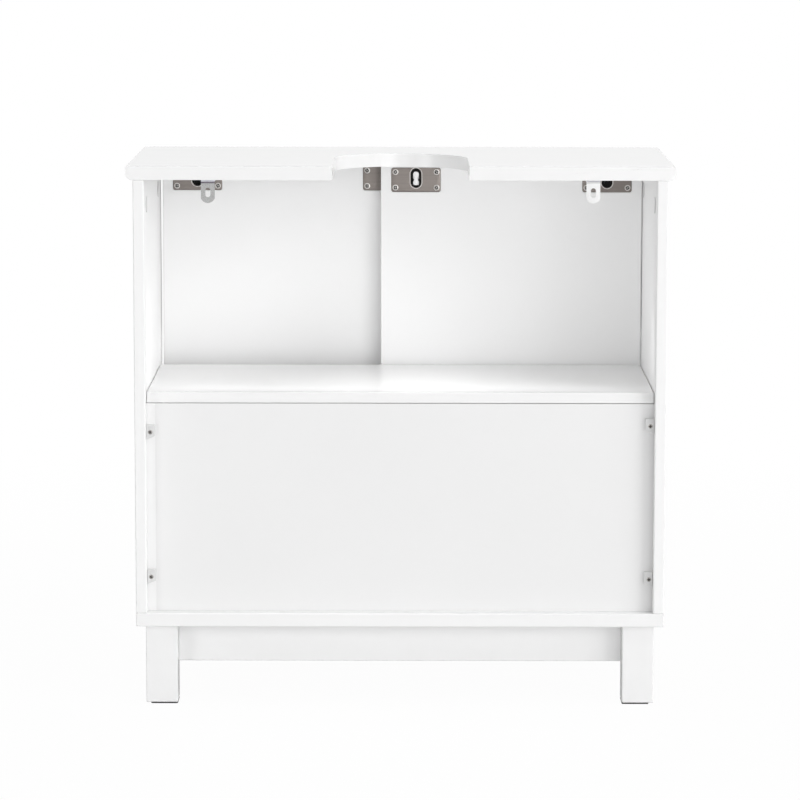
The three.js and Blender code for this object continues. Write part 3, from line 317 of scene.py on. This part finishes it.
# The first key that a node's name starts with gives its material and how far its edges are rounded.
FINISHES = {
    "top_panel": (LACQUER, 0.5 * MM),
    "bottom_panel": (LACQUER, 0.5 * MM),
    "side_panel": (SATIN, 0.5 * MM),
    "shelf_pin": (ZINC, 0.2 * MM),
    "shelf": (LACQUER, 0.25 * MM),
    "lower_back_panel": (HARDBOARD, 0.3 * MM),
    "back_clip": (WHITE_PLASTIC, 0.5 * MM),
    "leg_pad": (FELT, 0.4 * MM),
    "leg_": (LACQUER, 0.8 * MM),
    "apron": (LACQUER, 0.5 * MM),
    "cam_lock": (CAP_GREY, 0.2 * MM),
    # the two brackets share one finish; their different greys are painted light and shade
    "wall_bracket_left": (LIT_ZINC, 0.5 * MM),
    "wall_bracket_right": (SHADED_ZINC, 0.5 * MM),
    "bracket_screw": (SCREW, 0.15 * MM),
    "top_track": (WHITE_PLASTIC, 0.2 * MM),
    "floor_track": (BRUSHED, 0.2 * MM),
    "guide_plate": (BRUSHED, 0.1 * MM),
    "guide_housing": (BLACK_PLASTIC, 0.12 * MM),
    "guide_slider_inner_right": (NYLON, 0.25 * MM),
    "guide_slider_outer_left": (NYLON, 0.25 * MM),
    "guide_slider": (BLACK_PLASTIC, 0.25 * MM),
    "roller_box": (WHITE_PLASTIC, 0.3 * MM),
    "roller": (NYLON, 0.15 * MM),
    "finger_pull": (CHROME, 0.2 * MM),
    "door": (SATIN, 0.5 * MM),
}


def paint(item, material):
    item.data.materials.clear()
    item.data.materials.append(material)


def soften(item, width):
    """Merges a CAD node's facets, rounds its edges and shades its faces evenly."""
    item.data.shade_smooth()
    weld = item.modifiers.new("weld", "WELD")
    weld.merge_threshold = WELD_DISTANCE
    edge = item.modifiers.new("edge", "BEVEL")
    edge.width = width
    edge.segments = EDGE_STEPS
    edge.limit_method = "ANGLE"
    edge.angle_limit = math.radians(EDGE_ANGLE)
    shading = item.modifiers.new("shading", "WEIGHTED_NORMAL")
    shading.weight = FACE_WEIGHT


def finish_nodes():
    for name, item in NODES.items():
        key = next(start for start in FINISHES if name.startswith(start))
        material, width = FINISHES[key]
        paint(item, material)
        soften(item, width)


# ---------------------------------------------------------------- outlines, as loops of points
def arc(x, z, radius, start, end, steps):
    turns = [math.radians(start + (end - start) * i / steps) for i in range(steps + 1)]
    return [(x + radius * math.cos(a), z + radius * math.sin(a)) for a in turns]


def circle(x, z, radius, steps=ROUND_STEPS):
    return arc(x, z, radius, 0, 360, steps)[:-1]


def rounded_rectangle(width, height, radius):
    x = width / 2 - radius
    z = height / 2 - radius
    corners = [(x, z, 0), (-x, z, 90), (-x, -z, 180), (x, -z, 270)]
    return [p for cx, cz, a in corners for p in arc(cx, cz, radius, a, a + 90, CORNER_STEPS)]


def stadium(width, height, rise):
    reach = (height - width) / 2
    upper = arc(0, rise + reach, width / 2, 0, 180, ROUND_STEPS // 2)
    return upper + arc(0, rise - reach, width / 2, 180, 360, ROUND_STEPS // 2)


# ---------------------------------------------------------------- pieces
def merge(bm):
    bmesh.ops.remove_doubles(bm, verts=bm.verts, dist=MERGE_DISTANCE)


def finished_mesh(bm, name, sharp):
    bmesh.ops.recalc_face_normals(bm, faces=bm.faces)
    mesh = bpy.data.meshes.new(name)
    bm.to_mesh(mesh)
    bm.free()
    mesh.shade_smooth()
    mesh.set_sharp_from_angle(angle=math.radians(sharp))
    return mesh


class Solid:
    """A mesh under construction, seen from behind: X is across, Z is up and depth runs towards -Y."""

    def __init__(self):
        self.bm = bmesh.new()

    def loop(self, points, depth):
        return [self.bm.verts.new((x, -depth, z)) for x, z in points]

    def walls(self, loops, bright=0):
        """Joins each loop to the next; the first few bands take the second material, a painted highlight.
        """
        for band, (first, second) in enumerate(zip(loops, loops[1:])):
            for i, a in enumerate(first):
                j = (i + 1) % len(first)
                face = self.bm.faces.new((a, first[j], second[j], second[i]))
                face.material_index = int(band < bright)

    def lid(self, loops):
        corners = [v for loop in loops for v in loop]
        for triangle in tessellate_polygon([[v.co for v in loop] for loop in loops]):
            self.bm.faces.new([corners[i] for i in triangle])


def add_piece(name, mesh, place, materials, body):
    piece = bpy.data.objects.new(name, mesh)
    bpy.context.scene.collection.objects.link(piece)
    piece.location = place
    for material in materials:
        mesh.materials.append(material)
    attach(piece, body)
    return piece


# ---------------------------------------------------------------- screw heads
def head_height(x, z, radius, crown, recess):
    """Height of a screw head's face over its rim: a low crown with a cross recess and a raised middle."""
    r = math.hypot(x, z) / radius
    height = crown * (1 - r * r)
    length, half_width, depth, bright = recess
    inside = 0.0
    for along, across in ((abs(x), abs(z)), (abs(z), abs(x))):
        half = half_width * (1 - ARM_TAPER * along / length)
        arm = smoothstep(half + RECESS_EDGE, half, across)
        arm *= smoothstep(length + RECESS_EDGE, length, along)
        inside = max(inside, arm)
    middle = smoothstep(bright, 0.0, math.hypot(x, z))
    return height - inside * depth * (1 - MIDDLE_RISE * middle)


def add_head(bm, place, turn, head):
    """One screw head in an X-Z plane, facing +Y, with its rim at the given place."""
    radius, crown, rim, recess = head
    _, _, depth, bright = recess
    cosine = math.cos(turn)
    sine = math.sin(turn)
    rings = []
    for i in range(HEAD_RINGS + 1):
        r = radius * i / HEAD_RINGS
        ring = []
        for j in range(HEAD_STEPS):
            a = 2 * math.pi * j / HEAD_STEPS
            u = r * math.cos(a)
            w = r * math.sin(a)
            y = head_height(u, w, radius, crown, recess)
            ring.append(bm.verts.new(place + Vector((u * cosine - w * sine, y, u * sine + w * cosine))))
        rings.append(ring)
    rings.append([bm.verts.new(v.co - Vector((0, rim, 0))) for v in rings[-1]])
    for inner, outer in zip(rings, rings[1:]):
        for j in range(HEAD_STEPS):
            k = (j + 1) % HEAD_STEPS
            face = bm.faces.new((inner[j], outer[j], outer[k], inner[k]))
            middle = face.calc_center_median() - place
            r = math.hypot(middle.x, middle.z)
            plain = crown * (1 - (r / radius) ** 2)
            # rim and middle take the first material, a painted highlight on the plate screws
            if r > radius * HEAD_FLAT or r < bright:
                face.material_index = 0
            # deep faces of the recess take the second material, painted shade
            elif middle.y < plain - RECESS_START * depth:
                face.material_index = 1
            else:
                face.material_index = 2


def heads_mesh(name, places, turns, head):
    """Screw heads in one mesh, with materials for the rim, the recess (painted shade) and the face."""
    bm = bmesh.new()
    for (x, y, z), turn in zip(places, turns):
        add_head(bm, Vector((x, y, z)), turn, head)
    merge(bm)
    return finished_mesh(bm, name, HEAD_SHARP)


# ---------------------------------------------------------------- guide plates
def plate_mesh(width, thickness, height):
    """A plate with a rounded edge, a window with a bead round it and four countersunk holes."""
    solid = Solid()
    rims = []
    feet = []

    def rings(outline, steps, bright=0):
        loops = [solid.loop(outline(grow), depth) for grow, depth in steps]
        solid.walls(loops, bright)
        rims.append(loops[0])
        feet.append(loops[-1])

    edge = PLATE_EDGE
    rounding = [(-edge, 0), (-edge * MIDWAY, edge * MIDWAY), (0, edge), (0, thickness)]
    rings(lambda g: rounded_rectangle(width + 2 * g, height + 2 * g, PLATE_CORNER + g), rounding)
    outer = BEAD_REACH
    inner = outer - BEAD_WIDTH
    bead = [(outer, 0), (outer - BEAD_SLOPE, -BEAD_HEIGHT), (inner + BEAD_SLOPE, -BEAD_HEIGHT), (inner, 0)]
    opening = bead + [(0, inner), (0, thickness)]
    # the bead's bands take the second material, a painted highlight
    rings(lambda g: stadium(WINDOW[0] + 2 * g, WINDOW[1] + 2 * g, WINDOW_RISE), opening, BEAD_BANDS)
    for x, z in SCREW_PLACES:
        sink = [(SINK_RADIUS, 0), (SINK_FOOT, SINK_DEPTH), (SINK_FOOT, thickness)]
        rings(lambda r, x=x, z=z: circle(x, z, r), sink)
    solid.lid(rims)
    solid.lid(feet)
    return finished_mesh(solid.bm, "guide_plate", PLATE_SHARP)


def add_plates():
    for door in ("inner", "outer"):
        for end in ("left", "right"):
            node = f"guide_plate_{door}_{end}"
            body = f"door_{door}"
            low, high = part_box(node)
            size = high - low
            middle = (low + high) / 2
            face = Vector((middle.x, high.y, middle.z))
            mesh = plate_mesh(size.x, size.y, size.z)
            plate = add_piece(f"plate_{door}_{end}", mesh, face, [BRUSHED, HIGHLIGHT_STEEL], body)
            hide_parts(node)
            places = [(x, -SCREW_SUNK, z) for x, z in SCREW_PLACES]
            heads = heads_mesh("plate_screws", places, SCREW_TURNS, PLATE_HEAD)
            name = f"plate_screws_{door}_{end}"
            add_piece(name, heads, face, [HIGHLIGHT_STEEL, RECESS_SHADE, SCREW], body)


# ---------------------------------------------------------------- clip screws
def add_clip_screws():
    for level in ("upper", "lower"):
        for end, side in (("left", -1), ("right", 1)):
            low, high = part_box(f"back_clip_{level}_{end}")
            wall_low, wall_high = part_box(f"side_panel_{end}")
            inner_face = wall_low.x if side > 0 else wall_high.x
            place = Vector((inner_face - side * CLIP_SCREW_INSET, high.y, (low.z + high.z) / 2))
            heads = heads_mesh("clip_screw", [(0, 0, 0)], [CLIP_TURNS[end]], CLIP_HEAD)
            name = f"clip_screw_{level}_{end}"
            add_piece(name, heads, place, [SCREW, RECESS_SHADE, SCREW], "cabinet")


# ---------------------------------------------------------------- finger pulls
def pull_mesh(low, high):
    """A turned cup with a rounded rim, facing -Y. Its frame is the middle of the door's front face."""
    rim = (high.x - low.x) / 2
    cup = rim - PULL_RIM
    base = high.y - low.y - PULL_PROUD - PULL_FLOOR
    soft = CUP_CORNER
    profile = [(rim - inset, -share * PULL_PROUD) for inset, share in RIM_OUTSIDE]
    profile += [(cup + inset, -share * PULL_PROUD) for inset, share in RIM_INSIDE]
    profile += [(cup, base - soft), (cup - MIDWAY * soft, base - MIDWAY * soft), (cup - soft, base)]
    profile += [(share * cup, base + dip) for share, dip in CUP_DISH]
    solid = Solid()
    solid.walls([solid.loop(circle(0, 0, radius, PULL_STEPS), -y) for radius, y in profile])
    merge(solid.bm)
    return finished_mesh(solid.bm, "finger_pull", PULL_SHARP)


def add_pulls():
    for door in ("inner", "outer"):
        node = f"finger_pull_{door}"
        low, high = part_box(node)
        middle = (low + high) / 2
        place = Vector((middle.x, low.y + PULL_PROUD, middle.z))
        pull = add_piece(f"pull_{door}", pull_mesh(low, high), place, [CHROME], f"door_{door}")
        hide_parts(node)


# ---------------------------------------------------------------- floor, light and camera
def add_floor():
    """A white floor that keeps the object's shadow and, for the camera, glows almost as the backdrop."""
    bpy.ops.mesh.primitive_plane_add(size=FLOOR_SIZE)
    floor = bpy.context.object
    floor.name = "floor"
    look = Look("floor_white", {"Roughness": 0.9, "Specular IOR Level": 0.1})
    look.set("Base Color", look.blend(look.noise(scale=3), *(grey(tone) for tone in FLOOR_TONES)))
    path = look.node("ShaderNodeLightPath")
    glow = look.node("ShaderNodeEmission", {"Color": (1, 1, 1, 1), "Strength": 1.0})
    distance = look.node("ShaderNodeVectorMath", {0: look.place}, operation="LENGTH").outputs["Value"]
    share = look.spread(distance, FLOOR_GLOW, 1.0, *FLOOR_FADE)
    inputs = {0: path.outputs["Is Camera Ray"], 1: share}
    seen = look.node("ShaderNodeMath", inputs, operation="MULTIPLY").outputs[0]
    shaders = {0: seen, 1: look.shader.outputs[0], 2: glow.outputs[0]}
    mix = look.node("ShaderNodeMixShader", shaders)
    output = look.tree.nodes["Material Output"]
    look.tree.links.new(mix.outputs[0], output.inputs["Surface"])
    paint(floor, look.material)


def add_world():
    """Surroundings that are white where they are seen, also in mirrors, and otherwise light the object."""
    world = bpy.data.worlds.new("studio")
    bpy.context.scene.world = world
    world.use_nodes = True
    tree = world.node_tree
    tree.nodes.clear()
    path = tree.nodes.new("ShaderNodeLightPath")
    shown = path.outputs["Is Camera Ray"]
    for kind in ("Is Glossy Ray", "Is Transmission Ray"):
        either = tree.nodes.new("ShaderNodeMath")
        either.operation = "MAXIMUM"
        tree.links.new(shown, either.inputs[0])
        tree.links.new(path.outputs[kind], either.inputs[1])
        shown = either.outputs[0]
    mix = tree.nodes.new("ShaderNodeMixShader")
    tree.links.new(shown, mix.inputs[0])
    for slot, strength in ((1, FILL), (2, BACKDROP)):
        sky = tree.nodes.new("ShaderNodeBackground")
        sky.inputs["Color"].default_value = (1, 1, 1, 1)
        sky.inputs["Strength"].default_value = strength
        tree.links.new(sky.outputs[0], mix.inputs[slot])
    output = tree.nodes.new("ShaderNodeOutputWorld")
    tree.links.new(mix.outputs[0], output.inputs["Surface"])


def add_lamp(name, shape, place, width, height, power):
    data = bpy.data.lights.new(name, "AREA")
    data.shape = shape
    data.size = width
    data.size_y = height
    data.energy = power
    lamp = bpy.data.objects.new(name, data)
    bpy.context.scene.collection.objects.link(lamp)
    lamp.location = place
    lamp.visible_camera = False
    return lamp


def add_lamps():
    for name, (place, width, height, power, target) in SOFTBOXES.items():
        lamp = add_lamp(name, "ELLIPSE", place, width, height, power)
        lamp.rotation_euler = (Vector(target) - Vector(place)).to_track_quat("-Z", "Y").to_euler()
        lamp.visible_glossy = name not in UNREFLECTED
    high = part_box("shelf")[1]
    place = (0, high.y - INNER_INSET, high.z + INNER_RISE + INNER_SIZE[1] / 2)
    glow = add_lamp("inner_glow", "RECTANGLE", place, *INNER_SIZE, INNER_GLOW)
    glow.rotation_euler = (-math.pi / 2, 0, 0)
    glow.visible_glossy = False


def add_camera():
    pitch, yaw, roll = (math.radians(a) for a in (CAMERA_PITCH, CAMERA_YAW, CAMERA_ROLL))
    forward = Vector((
        math.sin(yaw) * math.cos(pitch),
        -math.cos(yaw) * math.cos(pitch),
        -math.sin(pitch),
    ))
    level = forward.cross(Vector((0, 0, 1))).normalized()
    upright = level.cross(forward)
    right = level * math.cos(roll) + upright * math.sin(roll)
    up = right.cross(forward)
    data = bpy.data.cameras.new("camera")
    data.lens = CAMERA_LENS
    data.sensor_width = SENSOR
    data.clip_start = 0.1
    data.clip_end = 100
    camera = bpy.data.objects.new("camera", data)
    bpy.context.scene.collection.objects.link(camera)
    axes = Matrix((right, up, -forward)).transposed().to_4x4()
    camera.matrix_world = Matrix.Translation(CAMERA_PLACE) @ axes
    bpy.context.scene.camera = camera


finish_nodes()
add_plates()
add_clip_screws()
add_pulls()
add_floor()
add_world()
add_lamps()
add_camera()
bpy.context.scene.view_settings.view_transform = "Standard"
